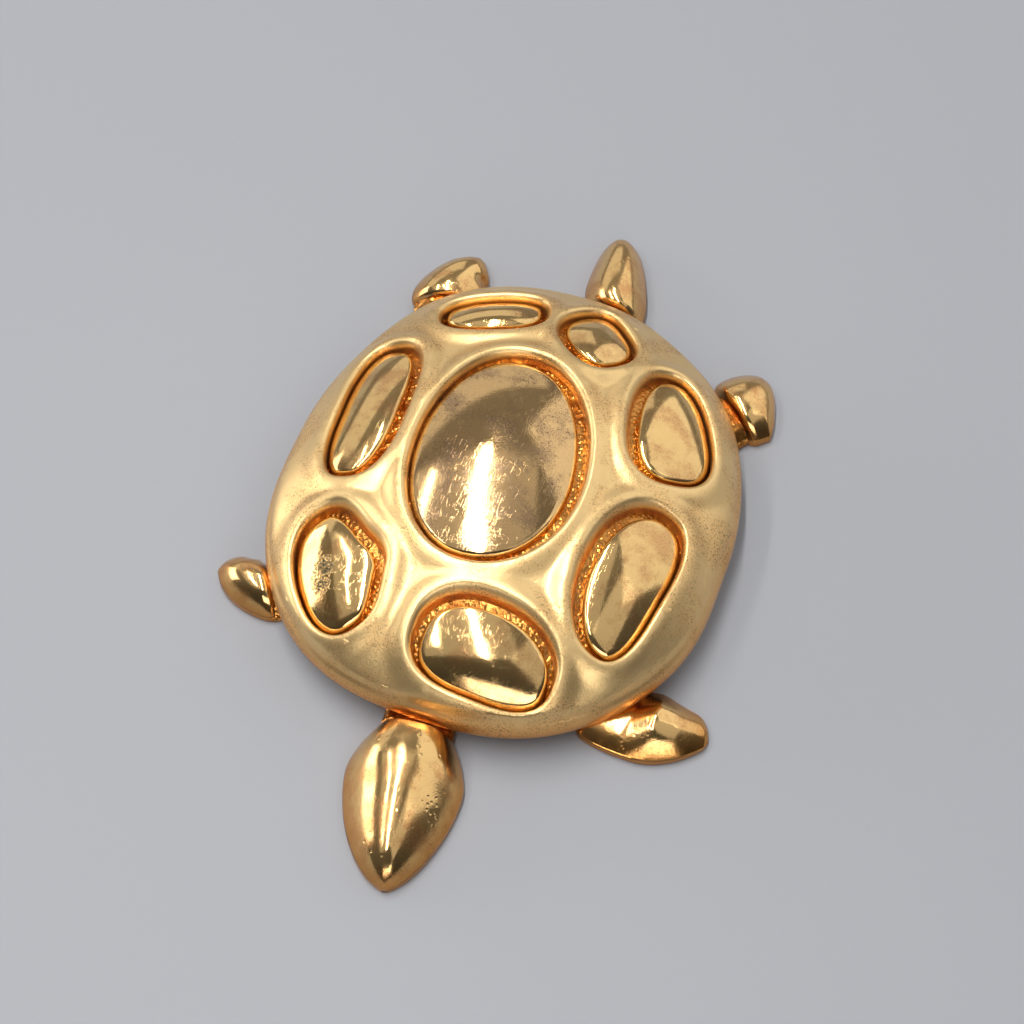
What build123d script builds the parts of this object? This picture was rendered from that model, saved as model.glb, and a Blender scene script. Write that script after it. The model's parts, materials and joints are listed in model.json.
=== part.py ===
from build123d import *
import math
import os

# A turtle brooch lying on its back plate: a pierced domed shell over a grained base casting with
# head, limbs and tail, a polished scute standing in every window, and a pin finding in the hollow.
# Millimetres. +Y runs from head to tail, +Z is up, the brooch lies on Z = 0, and the origin is at the
# middle of its footprint.

# Shell
shell_width = 32.8
shell_length = 36.8
rim_clearance = 1.9
edge_height = 1.5
crown_rise = 6.2
shell_wall = 1.2
lip_width = 0.6
lip_height = 0.25

# Base casting
seat_gap = 0.1
plate_wall = 1.0
skirt_clearance = 0.7
neck_top_gap = 0.25
neck_overlap = 0.5
neck_share = 0.9

# Scutes
scute_side_gap = 0.7
scute_drift = 0.25
scute_foot_gap = 0.05
scute_stand = 0.1
scute_round_share = 0.0116

# Head, limbs and tail
limb_side = 0.6
head_length = 11.2
head_width = 8.6
head_height = 3.6
right_flipper_length = 7.0
right_flipper_width = 5.2
left_flipper_length = 4.5
left_flipper_width = 4.6
flipper_height = 2.5
right_leg_length = 3.7
right_leg_width = 6.9
left_leg_length = 5.0
left_leg_width = 6.0
leg_height = 2.5
tail_length = 7.8
tail_width = 5.0
tail_height = 3.0
head_neck = 0.45
right_flipper_neck = -1.2
left_flipper_neck = -0.35
right_leg_neck = 1.0
left_leg_neck = 1.15
tail_neck = 0.8

# Pin finding
bar_width = 3.0
bar_thickness = 0.8
bar_height = 1.4
bar_offset = -2.5
finding_span = 20.0
block_length = 2.6
block_width = 2.2
stem_diameter = 0.8
stem_height = 0.7

# Forms that the outlines and the dome follow
outline_power = 2.25
dome_power = 2.2
dome_fullness = 0.75
dome_steps = (1.0, 0.985, 0.94, 0.86, 0.74, 0.58, 0.38, 0.18, 0.05)
outline_points = 24
window_points = 16
column_spare = 5.0
limb_steps = 8

# How far the outline departs from a plain rounded oval, as a share of its reach, every 30 degrees
# from +X.
outline_swell = (0.98, 0.965, 0.96, 1.0, 1.01, 0.985, 1.0, 1.02, 1.02, 1.0, 1.01, 1.015)

# One row for each window. Places and half sizes are shares of the shell's half width and half length,
# turn is the long axis in degrees, square is 2 for an oval and more for fuller corners, taper widens
# the far end of the long axis, and bend bows the long axis.
window_columns = ("name", "x", "y", "long", "wide", "turn", "square", "taper", "bend")
window_rows = (
    ("centre", -0.046, -0.016, 0.473, 0.372, 101, 2.1, -0.08, 0.0),
    ("rear_left", -0.357, 0.658, 0.241, 0.121, 18, 2.5, 0.05, 0.05),
    ("rear", 0.119, 0.668, 0.184, 0.152, 137, 2.3, 0.10, 0.0),
    ("right_rear", 0.567, 0.375, 0.275, 0.181, 112, 2.4, -0.20, 0.0),
    ("right_front", 0.631, -0.304, 0.313, 0.177, 81, 2.3, 0.05, -0.15),
    ("front", 0.198, -0.755, 0.305, 0.171, 178, 2.4, 0.05, 0.12),
    ("left_front", -0.524, -0.625, 0.261, 0.160, 131, 2.4, 0.0, -0.10),
    ("left_rear", -0.662, 0.065, 0.334, 0.159, 95, 2.6, 0.0, 0.03),
)

# One row for each limb: where its root is on the rim, the way it sets out and the way its tip points,
# in degrees from +X, the length of neck that shows, and its own sizes.
limb_columns = ("name", "root", "out", "tip", "neck", "length", "width", "height")
limb_rows = (
    ("head", 270, 277, 285, head_neck, head_length, head_width, head_height),
    ("right_flipper", 315, 353, 384, right_flipper_neck, right_flipper_length, right_flipper_width,
     flipper_height),
    ("left_flipper", 221, 186, 136, left_flipper_neck, left_flipper_length, left_flipper_width,
     flipper_height),
    ("right_leg", 47, 65, 20, right_leg_neck, right_leg_length, right_leg_width, leg_height),
    ("left_leg", 126, 108, 24, left_leg_neck, left_leg_length, left_leg_width, leg_height),
    ("tail", 86, 102, 106, tail_neck, tail_length, tail_width, tail_height),
)

# Sections along each limb: how far along it, how wide and how high, as shares of the limb's sizes.
limb_sections = {
    "head": (
        (0.0, 0.60, 0.74),
        (0.12, 0.79, 0.94),
        (0.30, 0.95, 1.0),
        (0.56, 0.84, 0.92),
        (0.78, 0.60, 0.74),
        (0.93, 0.34, 0.50),
        (1.0, 0.12, 0.28),
    ),
    "right_flipper": (
        (0.0, 0.86, 0.58),
        (0.25, 1.03, 0.64),
        (0.48, 1.02, 1.0),
        (0.68, 0.83, 0.90),
        (0.85, 0.61, 0.66),
        (0.96, 0.42, 0.42),
        (1.0, 0.24, 0.28),
    ),
    "left_flipper": (
        (0.0, 0.90, 0.58),
        (0.25, 0.93, 0.64),
        (0.48, 0.84, 1.0),
        (0.68, 0.72, 0.90),
        (0.85, 0.58, 0.66),
        (0.96, 0.43, 0.42),
        (1.0, 0.16, 0.28),
    ),
    "right_leg": (
        (0.0, 0.90, 0.86),
        (0.28, 0.88, 1.0),
        (0.58, 0.95, 0.94),
        (0.82, 0.76, 0.74),
        (0.95, 0.50, 0.50),
        (1.0, 0.24, 0.32),
    ),
    "left_leg": (
        (0.0, 0.94, 0.86),
        (0.28, 0.96, 1.0),
        (0.58, 0.75, 0.94),
        (0.82, 0.55, 0.74),
        (0.95, 0.43, 0.50),
        (1.0, 0.30, 0.32),
    ),
    "tail": (
        (0.0, 0.90, 0.88),
        (0.22, 1.0, 1.0),
        (0.50, 0.88, 0.90),
        (0.78, 0.65, 0.68),
        (0.94, 0.38, 0.46),
        (1.0, 0.12, 0.28),
    ),
}


def reach(turn, inset=0.0):
    """Distance from the shell's centre to its outline, less an inset, at a turn in degrees."""
    a = math.radians(turn)
    across = abs(math.cos(a)) / (shell_width / 2)
    along = abs(math.sin(a)) / (shell_length / 2)
    oval = (across ** outline_power + along ** outline_power) ** (-1 / outline_power)
    place = (turn % 360) * len(outline_swell) / 360
    low = int(place) % len(outline_swell)
    high = (low + 1) % len(outline_swell)
    blend = (1 - math.cos(math.pi * (place - int(place)))) / 2
    swell = outline_swell[low] * (1 - blend) + outline_swell[high] * blend
    return oval * swell - inset


def outline_face(share, height, inset):
    """A flat face inside the shell's outline, shrunk to a share of its reach, at one height."""
    points = []
    for k in range(outline_points):
        turn = 360 * k / outline_points
        r = share * reach(turn, inset)
        points.append((r * math.cos(math.radians(turn)), r * math.sin(math.radians(turn)), height))
    return make_face(Spline(*points, periodic=True))


def dome(inset, foot):
    """The shell's outer form as a solid, moved inwards and down by an inset, standing on a foot."""
    edge = rim_clearance + edge_height - inset
    skirt = extrude(outline_face(1.0, foot, inset), edge - foot)
    sections = []
    for share in dome_steps:
        rise = crown_rise * (1 - share ** dome_power) ** dome_fullness
        sections.append(outline_face(share, edge + rise, inset))
    return skirt + loft(sections)


def window_outline(row, grow, drift):
    """Points round a window, moved outwards by grow and away from the shell's centre by drift."""
    spec = dict(zip(window_columns, row))
    half_width = shell_width / 2
    half_length = shell_length / 2
    turn = math.radians(spec["turn"])
    cx = spec["x"] * half_width
    cy = spec["y"] * half_length
    away = math.hypot(cx, cy)
    cx += drift * cx / away
    cy += drift * cy / away
    points = []
    for k in range(window_points):
        f = 2 * math.pi * k / window_points
        u = math.copysign(abs(math.cos(f)) ** (2 / spec["square"]), math.cos(f))
        v = math.copysign(abs(math.sin(f)) ** (2 / spec["square"]), math.sin(f))
        v = v * (1 + spec["taper"] * u) + spec["bend"] * (u * u - 1 / 3)
        x = (u * spec["long"] * math.cos(turn) - v * spec["wide"] * math.sin(turn)) * half_width
        y = (u * spec["long"] * math.sin(turn) + v * spec["wide"] * math.cos(turn)) * half_length
        points.append((cx + x, cy + y))
    moved = []
    for k in range(window_points):
        ax, ay = points[k - 1]
        bx, by = points[(k + 1) % window_points]
        chord = math.hypot(bx - ax, by - ay)
        moved.append((points[k][0] + grow * (by - ay) / chord, points[k][1] - grow * (bx - ax) / chord))
    return moved


def window_column(row, grow=0.0, drift=0.0):
    """A column over a window's outline, taller than the shell."""
    outline = window_outline(row, grow, drift)
    face = make_face(Spline(*[(x, y, 0) for x, y in outline], periodic=True))
    return extrude(face, rim_clearance + edge_height + crown_rise + column_spare)


def build_shell():
    """The pierced shell, with a raised lip round every window."""
    raised = dome(-lip_height, rim_clearance)
    lips = [raised & window_column(row, lip_width) for row in window_rows]
    solid = dome(0, rim_clearance) + lips
    openings = [window_column(row) for row in window_rows]
    return solid - [dome(shell_wall, 0), *openings]


def build_scutes():
    """A polished scute for every window, standing on the base plate, by its node's name."""
    top = dome(-scute_stand, 0)
    floor = dome(shell_wall - scute_foot_gap, 0)
    rim_round = scute_round_share * min(shell_width, shell_length)
    scutes = {}
    for row in window_rows:
        solid = (top & window_column(row, -scute_side_gap, scute_drift)) - floor
        side = solid.faces().sort_by(lambda face: abs(face.normal_at().Z))[0]
        edges = side.edges().filter_by(GeomType.LINE, reverse=True).sort_by(Axis.Z)
        scutes["scute_" + row[0]] = fillet(edges[len(edges) // 2:], rim_round)
    return scutes


def section_face(plane, width, height):
    """A limb's section: a flat underside, short upright sides and an arched top."""
    side = min(limb_side, height / 2)
    half = width / 2
    base = Polyline((-half, side), (-half, 0), (half, 0), (half, side))
    crown = ThreePointArc((half, side), (0, height), (-half, side))
    return plane * make_face(Wire([*base.edges(), *crown.edges()]))


def limb_plane(spec, share):
    """The plane across a limb at a share of its length, with its x axis level and its y axis up."""
    root = math.radians(spec["root"])
    reach_out = reach(spec["root"])
    x = reach_out * math.cos(root) + spec["neck"] * math.cos(math.radians(spec["out"]))
    y = reach_out * math.sin(root) + spec["neck"] * math.sin(math.radians(spec["out"]))
    for k in range(limb_steps):
        turn = math.radians(spec["out"] + (spec["tip"] - spec["out"]) * share * (k + 0.5) / limb_steps)
        x += math.cos(turn) * share * spec["length"] / limb_steps
        y += math.sin(turn) * share * spec["length"] / limb_steps
    turn = math.radians(spec["out"] + (spec["tip"] - spec["out"]) * share)
    way = Vector(math.cos(turn), math.sin(turn), 0)
    return Plane(origin=(x, y, 0), x_dir=Vector(-way.Y, way.X, 0), z_dir=way)


def build_limb(row):
    """A head, limb or tail, with the neck that joins it to the base plate."""
    spec = dict(zip(limb_columns, row))
    sections = limb_sections[spec["name"]]
    faces = []
    for along, wide, high in sections:
        plane = limb_plane(spec, along)
        faces.append(section_face(plane, wide * spec["width"], high * spec["height"]))
    neck_top = rim_clearance - neck_top_gap
    neck_width = spec["width"] * neck_share * sections[0][1]
    neck_length = spec["neck"] + shell_wall + seat_gap + plate_wall + neck_overlap
    inner_end = limb_plane(spec, 0).offset(neck_overlap - neck_length)
    neck = extrude(inner_end * (Pos(0, neck_top / 2) * Rectangle(neck_width, neck_top)), neck_length)
    return loft(faces) + neck


def build_body():
    """The base casting: a domed plate, open below, with necks, head, limbs and tail."""
    inset = shell_wall + seat_gap
    plate = dome(inset, skirt_clearance)
    limbs = [build_limb(row) for row in limb_rows]
    return (plate + limbs) - dome(inset + plate_wall, 0)


def build_pin_back():
    """The pin finding: a bar across the hollow, a hinge block, a catch block and the stem."""
    bar_middle = bar_height + bar_thickness / 2
    bar = Pos(0, bar_offset, bar_middle) * Box(shell_width, bar_width, bar_thickness)
    solid = bar & dome(shell_wall + seat_gap + plate_wall + seat_gap, 0)
    block = Box(block_length, block_width, bar_height)
    block_place = (finding_span - block_length) / 2
    stem = Cylinder(stem_diameter / 2, finding_span - block_length, rotation=(0, 90, 0))
    return solid + [
        Pos(-block_place, bar_offset, bar_height / 2) * block,
        Pos(block_place, bar_offset, bar_height / 2) * block,
        Pos(0, bar_offset, stem_height) * stem,
    ]


def build_pieces():
    """Every piece of the brooch by its node's name, with the origin under the middle of the whole."""
    pieces = {"shell": build_shell(), "body": build_body()}
    pieces.update(build_scutes())
    pieces["pin_back"] = build_pin_back()
    middle = pieces["body"].bounding_box().center()
    return {name: Pos(-middle.X, -middle.Y, 0) * piece for name, piece in pieces.items()}


if __name__ == "__main__":
    os.makedirs("parts", exist_ok=True)
    for name, piece in build_pieces().items():
        export_step(piece, f"parts/{name}.step")
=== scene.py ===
"""Turtle brooch: the looks of its pierced satin shell, polished scutes and grained base casting.

Metres, in the row frame: +Y runs from head to tail and +Z is up. The plan of the shell, its windows
and the limbs repeats the driving sizes of the part, so the pieces keep to the part's own box.
"""

from __future__ import annotations

import json
import logging
import math
from dataclasses import dataclass, replace
from enum import Enum
from typing import Iterable, Sequence

import bmesh
import bpy
from mathutils import Matrix, Vector, noise
from mathutils.kdtree import KDTree

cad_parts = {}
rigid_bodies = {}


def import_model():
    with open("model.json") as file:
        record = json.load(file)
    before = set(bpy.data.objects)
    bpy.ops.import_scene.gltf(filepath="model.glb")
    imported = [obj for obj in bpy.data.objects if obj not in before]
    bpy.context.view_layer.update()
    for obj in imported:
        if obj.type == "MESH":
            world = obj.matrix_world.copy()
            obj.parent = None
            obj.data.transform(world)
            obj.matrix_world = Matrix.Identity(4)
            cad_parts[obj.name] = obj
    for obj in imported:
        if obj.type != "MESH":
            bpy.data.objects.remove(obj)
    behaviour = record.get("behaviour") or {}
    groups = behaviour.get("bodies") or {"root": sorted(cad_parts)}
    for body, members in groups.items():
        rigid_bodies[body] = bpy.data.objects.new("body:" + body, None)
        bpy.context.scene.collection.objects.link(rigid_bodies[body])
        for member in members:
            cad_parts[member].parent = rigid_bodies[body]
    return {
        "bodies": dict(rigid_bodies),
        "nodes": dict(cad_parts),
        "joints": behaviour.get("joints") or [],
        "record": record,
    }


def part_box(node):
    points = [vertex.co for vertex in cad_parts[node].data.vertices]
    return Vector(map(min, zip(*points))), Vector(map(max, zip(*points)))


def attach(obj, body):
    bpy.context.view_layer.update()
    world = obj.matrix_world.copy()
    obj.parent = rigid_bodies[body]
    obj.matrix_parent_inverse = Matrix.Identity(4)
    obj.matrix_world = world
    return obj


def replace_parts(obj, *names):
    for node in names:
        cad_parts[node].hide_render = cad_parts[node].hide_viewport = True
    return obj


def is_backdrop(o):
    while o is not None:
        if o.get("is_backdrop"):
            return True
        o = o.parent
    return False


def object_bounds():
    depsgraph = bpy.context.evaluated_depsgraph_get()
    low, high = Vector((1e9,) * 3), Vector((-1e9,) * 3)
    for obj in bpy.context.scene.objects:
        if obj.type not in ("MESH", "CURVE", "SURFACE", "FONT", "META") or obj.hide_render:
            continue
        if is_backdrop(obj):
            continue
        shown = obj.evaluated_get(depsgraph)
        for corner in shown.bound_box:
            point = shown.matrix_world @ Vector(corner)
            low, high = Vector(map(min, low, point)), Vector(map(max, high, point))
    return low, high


MM = 0.001
LOG = logging.getLogger("turtle_brooch")
# Vertices closer together than this are made one, which closes the seams between rings.
WELD = 0.0005 * MM
# Settings that many shader nodes share: a smooth ramp, a product, and a mix of colours with its output.
SMOOTH = {"interpolation_type": "SMOOTHSTEP"}
TIMES = {"operation": "MULTIPLY"}
COLOURS = {"data_type": "RGBA", "out": 2}

Inputs = dict | tuple
Edges = list[bmesh.types.BMEdge]
# A ring's places and, where it is laid out flat, the heights that it will have.
Ring = tuple[Sequence[Vector], Sequence[float] | None]


class Slot(Enum):
    """The record's material slots."""

    SHELL = "satin_shell"
    CASTING = "polished_casting"
    SCUTE = "polished_scute"


def linear(colour: str) -> tuple[float, float, float, float]:
    """An sRGB colour such as "#D9B36A" as linear RGBA."""
    channels = []
    for k in (1, 3, 5):
        c = int(colour[k:k + 2], 16) / 255
        channels.append(c / 12.92 if c <= 0.04045 else ((c + 0.055) / 1.055) ** 2.4)
    return (*channels, 1.0)


def smooth_step(value: float, low: float, high: float) -> float:
    """0 below low, 1 above high and a smooth ramp between them."""
    t = min(1.0, max(0.0, (value - low) / (high - low)))
    return t * t * (3 - 2 * t)


def heading(degrees: float) -> Vector:
    """The level direction at an angle from +X."""
    turn = math.radians(degrees)
    return Vector((math.cos(turn), math.sin(turn), 0))


def share_round(place: Vector) -> float:
    """How far round from +X a place lies in plan, from 0 to 1."""
    return math.atan2(place.y, place.x) / (2 * math.pi) % 1.0


def pebbles(place: Vector, size: float) -> float:
    """Height, from 0 to 1, of a pebbled casting grain whose pebbles are about one size across."""
    # A groove runs where two pebbles are equally near, and a slower noise varies how high they are.
    near = noise.voronoi(place / size)[0]
    swell = 0.75 + 0.25 * noise.noise(place / (size * 2.3))
    return swell * smooth_step(near[1] - near[0], 0.02, 0.55)


@dataclass(frozen=True)
class Loop:
    """A closed curve in plan, drawn smoothly through its points."""

    points: tuple[tuple[float, float], ...]

    def at(self, share: float) -> Vector:
        """The point at a share of the way round.

        Args:
            share: 0 to 1, from the first point on.

        Returns:
            The point in plan.
        """
        count = len(self.points)
        place = share % 1.0 * count
        k = int(place)
        f = place - k
        a, b, c, d = (Vector(self.points[(k + i - 1) % count]) for i in range(4))
        total = 2 * b + (c - a) * f
        total += (2 * a - 5 * b + 4 * c - d) * f * f
        total += (3 * b - a - 3 * c + d) * f ** 3
        return total / 2

    def spread(self, count: int) -> list[Vector]:
        """Points round the curve, evenly far apart.

        Args:
            count: How many points.

        Returns:
            The points in plan.
        """
        return [self.at(share) for share in self.shares(count)]

    def places(self, shares: Iterable[float]) -> list[Vector]:
        """The points at some shares of the way round, in space at height 0."""
        return [self.at(share).to_3d() for share in shares]

    def shares(self, count: int) -> list[float]:
        """The shares at which evenly spaced points lie.

        Args:
            count: How many points.

        Returns:
            One share for each point.
        """
        fine = 16 * len(self.points)
        dense = [self.at(k / fine) for k in range(fine + 1)]
        walked = [0.0]
        for a, b in zip(dense, dense[1:]):
            walked.append(walked[-1] + (b - a).length)
        shares = []
        k = 0
        for step in range(count):
            want = walked[-1] * step / count
            while walked[k + 1] < want:
                k += 1
            shares.append((k + (want - walked[k]) / (walked[k + 1] - walked[k])) / fine)
        return shares

    def length(self) -> float:
        """The length of the curve."""
        dense = self.spread(8 * len(self.points))
        return sum((a - b).length for a, b in zip(dense, dense[1:] + dense[:1]))

    def centre(self) -> Vector:
        """The middle of the curve's points."""
        return sum((Vector(p) for p in self.points), Vector((0.0, 0.0))) / len(self.points)


@dataclass(frozen=True)
class ShellForm:
    """The outline and the dome that the shell, the plate and the scutes follow."""

    width: float = 32.8 * MM
    length: float = 36.8 * MM
    rim: float = 1.9 * MM
    edge: float = 1.5 * MM
    crown: float = 6.2 * MM
    power: float = 2.25
    dome_power: float = 2.2
    fullness: float = 0.75
    swell: tuple[float, ...] = (0.98, 0.965, 0.96, 1.0, 1.01, 0.985, 1.0, 1.02, 1.02, 1.0, 1.01, 1.015)

    def reach(self, turn: float) -> float:
        """How far the outline is from the shell's centre.

        Args:
            turn: Radians from +X.

        Returns:
            The distance in metres.
        """
        across = abs(math.cos(turn)) / (self.width / 2)
        along = abs(math.sin(turn)) / (self.length / 2)
        oval = (across ** self.power + along ** self.power) ** (-1 / self.power)
        place = turn / (2 * math.pi) % 1.0 * len(self.swell)
        low = int(place) % len(self.swell)
        blend = (1 - math.cos(math.pi * (place - int(place)))) / 2
        return oval * (self.swell[low] * (1 - blend) + self.swell[(low + 1) % len(self.swell)] * blend)

    def outline(self, inset: float = 0.0, count: int = 96) -> Loop:
        """The shell's outline.

        Args:
            inset: How far inside it.
            count: How many points to draw it through.

        Returns:
            The outline as a loop.
        """
        points = []
        for k in range(count):
            turn = 2 * math.pi * k / count
            r = self.reach(turn) - inset
            points.append((r * math.cos(turn), r * math.sin(turn)))
        return Loop(tuple(points))

    def height(self, place: Vector, inset: float = 0.0) -> float:
        """The dome's height over a place in plan, for the dome moved inwards and down by an inset."""
        turn = math.atan2(place.y, place.x)
        share = min(1.0, math.hypot(place.x, place.y) / (self.reach(turn) - inset))
        rise = self.crown * (1 - share ** self.dome_power) ** self.fullness
        return self.rim + self.edge - inset + rise

    def centre(self) -> Vector:
        """Where the shell's centre lies in the row frame, from the frame's own shell."""
        low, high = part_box("shell")
        points = self.outline().points
        xs = [x for x, _ in points]
        ys = [y for _, y in points]
        x = (low.x + high.x - min(xs) - max(xs)) / 2
        y = (low.y + high.y - min(ys) - max(ys)) / 2
        return Vector((x, y, 0.0))


@dataclass(frozen=True)
class Window:
    """A window through the shell: its place and half sizes as shares of the shell's half sizes.

    Square is how square its ends are, taper how much wider it is at one end, and bend how far it bows.
    Each corner is the way to it from the window's middle, in degrees, and how many mm it reaches out.
    """

    name: str
    x: float
    y: float
    along: float
    wide: float
    turn: float
    square: float
    taper: float
    bend: float
    corners: tuple[tuple[float, float], ...] = ()

    def loop(self, form: ShellForm, grow: float = 0.0, drift: float = 0.0) -> Loop:
        """The window's outline.

        Args:
            form: The shell's form.
            grow: How far outside the outline.
            drift: How far it moves away from the shell's centre.

        Returns:
            The outline as a loop, in plan from the shell's centre.
        """
        half = (form.width / 2, form.length / 2)
        turn = math.radians(self.turn)
        middle = Vector((self.x * half[0], self.y * half[1]))
        middle += middle.normalized() * drift
        count = 32
        tight = 5
        points = []
        for k in range(count):
            f = 2 * math.pi * k / count
            u = math.copysign(abs(math.cos(f)) ** (2 / self.square), math.cos(f))
            v = math.copysign(abs(math.sin(f)) ** (2 / self.square), math.sin(f))
            v = v * (1 + self.taper * u) + self.bend * (u * u - 1 / 3)
            x = (u * self.along * math.cos(turn) - v * self.wide * math.sin(turn)) * half[0]
            y = (u * self.along * math.sin(turn) + v * self.wide * math.cos(turn)) * half[1]
            for way, reach in self.corners:
                near = max(0.0, math.cos(math.atan2(y, x) - math.radians(way))) ** tight
                x += near * reach * MM * math.cos(math.radians(way))
                y += near * reach * MM * math.sin(math.radians(way))
            points.append(middle + Vector((x, y)))
        moved = []
        for k in range(count):
            chord = points[(k + 1) % count] - points[k - 1]
            out = Vector((chord.y, -chord.x)).normalized()
            moved.append(tuple(points[k] + out * grow))
        return Loop(tuple(moved))


WINDOWS = (
    Window("centre", -0.046, -0.016, 0.473, 0.372, 101, 2.1, -0.08, 0.0),
    Window("rear_left", -0.357, 0.658, 0.241, 0.121, 18, 2.5, 0.05, 0.05),
    Window("rear", 0.119, 0.668, 0.184, 0.152, 137, 2.3, 0.10, 0.0, ((2, 0.3),)),
    Window("right_rear", 0.567, 0.375, 0.275, 0.181, 112, 2.4, -0.20, 0.0),
    Window("right_front", 0.631, -0.304, 0.313, 0.177, 81, 2.3, 0.05, -0.15, ((-76, 0.3),)),
    Window("front", 0.198, -0.755, 0.305, 0.171, 178, 2.4, 0.05, 0.12),
    Window("left_front", -0.524, -0.625, 0.261, 0.160, 131, 2.4, 0.0, -0.10, ((30, 0.85),)),
    Window("left_rear", -0.662, 0.065, 0.334, 0.159, 95, 2.6, 0.0, 0.03, ((74, 0.2), (-106, 0.2))),
)


class Mesher:
    """A mesh built from rings: one ring of vertices, extruded again and again onto new places."""

    def __init__(self) -> None:
        """Starts an empty mesh whose vertices remember their slot in a ring and their own height."""
        self.bm = bmesh.new()
        self.slot = self.bm.verts.layers.int.new("slot")
        self.own = self.bm.verts.layers.int.new("own")
        self.rise = self.bm.verts.layers.float.new("rise")

    def ring(self, places: Sequence[Vector]) -> Edges:
        """A new ring through the places.

        Args:
            places: One place for each vertex, in order.

        Returns:
            The ring's edges.
        """
        made = bmesh.ops.create_circle(self.bm, segments=len(places), radius=MM)["verts"]
        for k, vert in enumerate(made):
            vert[self.slot] = k
            vert.co = places[k]
        return list(dict.fromkeys(edge for vert in made for edge in vert.link_edges))

    def extend(self, edges: Edges, places: Sequence[Vector]) -> Edges:
        """Extrudes a ring onto new places.

        Args:
            edges: The ring's edges.
            places: The new place for each slot of the ring.

        Returns:
            The new ring's edges.
        """
        made = bmesh.ops.extrude_edge_only(self.bm, edges=edges)["geom"]
        verts = {item for item in made if isinstance(item, bmesh.types.BMVert)}
        for vert in verts:
            vert.co = places[vert[self.slot]]
        return [e for e in made if isinstance(e, bmesh.types.BMEdge) and set(e.verts) <= verts]

    def sweep(self, rings: Iterable[Ring]) -> tuple[Edges, Edges]:
        """A run of rings, each extruded from the one before.

        Args:
            rings: The rings, in order.

        Returns:
            The edges of the first ring and of the last.
        """
        first: Edges = []
        edges: Edges = []
        for places, heights in rings:
            edges = self.extend(edges, places) if edges else self.ring(places)
            first = first or edges
            if heights:
                self.flat(edges, heights)
        return first, edges

    def flat(self, edges: Edges, heights: Sequence[float]) -> None:
        """Notes the heights of a ring that is still laid out flat.

        Args:
            edges: The ring's edges.
            heights: One height for each slot.
        """
        for vert in {vert for edge in edges for vert in edge.verts}:
            vert[self.own] = 1
            vert[self.rise] = heights[vert[self.slot]]

    def cap(self, edges: Edges) -> None:
        """Closes a ring with one face."""
        bmesh.ops.contextual_create(self.bm, geom=edges)

    def disc(self, cells: int) -> tuple[list[tuple[bmesh.types.BMVert, float, float]], list[float]]:
        """A square grid drawn out to a disc of radius 1, whose edge is a ring.

        Args:
            cells: How many cells along each side.

        Returns:
            Each vertex with its share of the way round and out, and the share of each slot of the ring.
        """
        spots = []
        shares = []
        for vert in bmesh.ops.create_grid(self.bm, x_segments=cells, y_segments=cells, size=1.0)["verts"]:
            u, v = vert.co.x, vert.co.y
            x = u * math.sqrt(max(0.0, 1 - v * v / 2))
            y = v * math.sqrt(max(0.0, 1 - u * u / 2))
            vert.co = Vector((x, y, 0.0))
            share = share_round(vert.co)
            spots.append((vert, share, min(1.0, vert.co.xy.length)))
            if vert.is_boundary:
                vert[self.slot] = len(shares)
                shares.append(share)
        return spots, shares

    def boundary(self) -> Edges:
        """The edges that have one face."""
        return [edge for edge in self.bm.edges if edge.is_boundary]

    def finish(self, name: str, move: Vector, material: bpy.types.Material) -> bpy.types.Object:
        """Turns the mesh into a smooth object that rides on the root body.

        Args:
            name: The object's name.
            move: How far to move the mesh into the row frame.
            material: Its material.

        Returns:
            The object.
        """
        bm = self.bm
        bmesh.ops.remove_doubles(bm, verts=bm.verts[:], dist=WELD)
        bmesh.ops.delete(bm, geom=[edge for edge in bm.edges if edge.is_wire], context="EDGES")
        bmesh.ops.recalc_face_normals(bm, faces=bm.faces[:])
        bmesh.ops.translate(bm, verts=bm.verts[:], vec=move)
        for face in bm.faces:
            face.smooth = True
        mesh = bpy.data.meshes.new(name)
        bm.to_mesh(mesh)
        open_edges = sum(1 for edge in bm.edges if not edge.is_manifold)
        bm.free()
        mesh.materials.append(material)
        obj = bpy.data.objects.new(name, mesh)
        bpy.context.collection.objects.link(obj)
        LOG.info("%s: %d faces, %d open edges", name, len(mesh.polygons), open_edges)
        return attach(obj, "root")


class Tree:
    """The nodes of a material or a world, with one function that adds a node with its settings and links."""

    def __init__(self, owner: bpy.types.Material | bpy.types.World) -> None:
        """Starts the nodes that the owner has by default."""
        owner.use_nodes = True
        self.owner = owner
        self.nodes = owner.node_tree.nodes
        self.links = owner.node_tree.links

    def add(self, kind: str, sockets: Inputs = (), out: str | int = 0, **settings) -> bpy.types.NodeSocket:
        """Adds a node.

        Args:
            kind: The node's type, without "ShaderNode".
            sockets: Values or output sockets for its inputs, in order, or by name or place.
            out: Which of its outputs to give, by name or place.
            settings: Values for its own properties.

        Returns:
            The output.
        """
        node = self.nodes.new("ShaderNode" + kind)
        for key, value in settings.items():
            setattr(node, key, value)
        self.put(node, sockets)
        return node.outputs[out]

    def put(self, node: bpy.types.Node, sockets: Inputs) -> None:
        """Sets or links inputs of a node, given in order, or by name or place."""
        for key, value in sockets.items() if isinstance(sockets, dict) else enumerate(sockets):
            if isinstance(value, bpy.types.NodeSocket):
                self.links.new(value, node.inputs[key])
            else:
                node.inputs[key].default_value = value


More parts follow.
